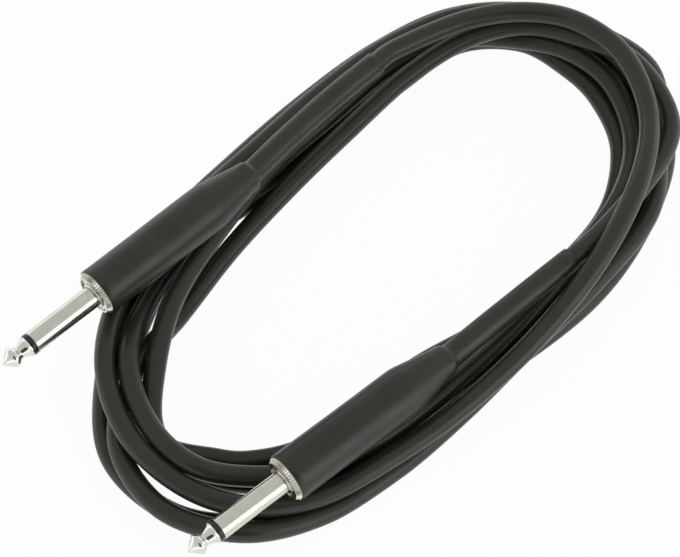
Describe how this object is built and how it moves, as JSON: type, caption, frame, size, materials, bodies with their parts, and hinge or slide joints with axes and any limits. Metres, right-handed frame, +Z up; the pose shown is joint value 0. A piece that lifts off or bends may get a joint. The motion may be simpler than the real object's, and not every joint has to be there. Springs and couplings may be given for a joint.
{
  "type": "instrument cable",
  "caption": "Black instrument cable laid in a long oval coil, with a straight 6.35 mm jack plug in black shrink sleeve on each end",
  "frame": {"origin": "Centre of the bounding box on the surface that the coil lies on", "axes": "+Z up from the surface, +X to the right and +Y away from the viewer as pictured, the plug tips pointing towards -X -Y"},
  "size_m": [0.1892, 0.1867, 0.0296],
  "materials": {
    "jacket": "satin",
    "sleeve": "satin",
    "nickel": "satin",
    "tip_nickel": "polished",
    "black_plastic": "gloss",
    "fibre": "matte",
    "tinned_lug": "satin",
    "liner_plastic": "matte",
    "core_plastic": "satin",
    "copper": "satin",
    "solder": "satin"
  },
  "bodies": {
    "root": {"cable": "jacket", "plug_1_tip": "tip_nickel", "plug_1_insulator": "black_plastic", "plug_1_shaft": "nickel", "plug_1_washer": "fibre", "plug_1_tip_lug": "tinned_lug", "plug_1_ground_clamp": "tinned_lug", "plug_1_handle": "nickel", "plug_1_liner": "liner_plastic", "plug_1_sleeve": "sleeve", "plug_1_core": "core_plastic", "plug_1_conductor": "copper", "plug_1_tip_solder": "solder", "plug_1_screen_tail": "copper", "plug_1_ground_solder": "solder", "plug_2_tip": "tip_nickel", "plug_2_insulator": "black_plastic", "plug_2_shaft": "nickel", "plug_2_washer": "fibre", "plug_2_tip_lug": "tinned_lug", "plug_2_ground_clamp": "tinned_lug", "plug_2_handle": "nickel", "plug_2_liner": "liner_plastic", "plug_2_sleeve": "sleeve", "plug_2_core": "core_plastic", "plug_2_conductor": "copper", "plug_2_tip_solder": "solder", "plug_2_screen_tail": "copper", "plug_2_ground_solder": "solder"}
  },
  "joints": []
}
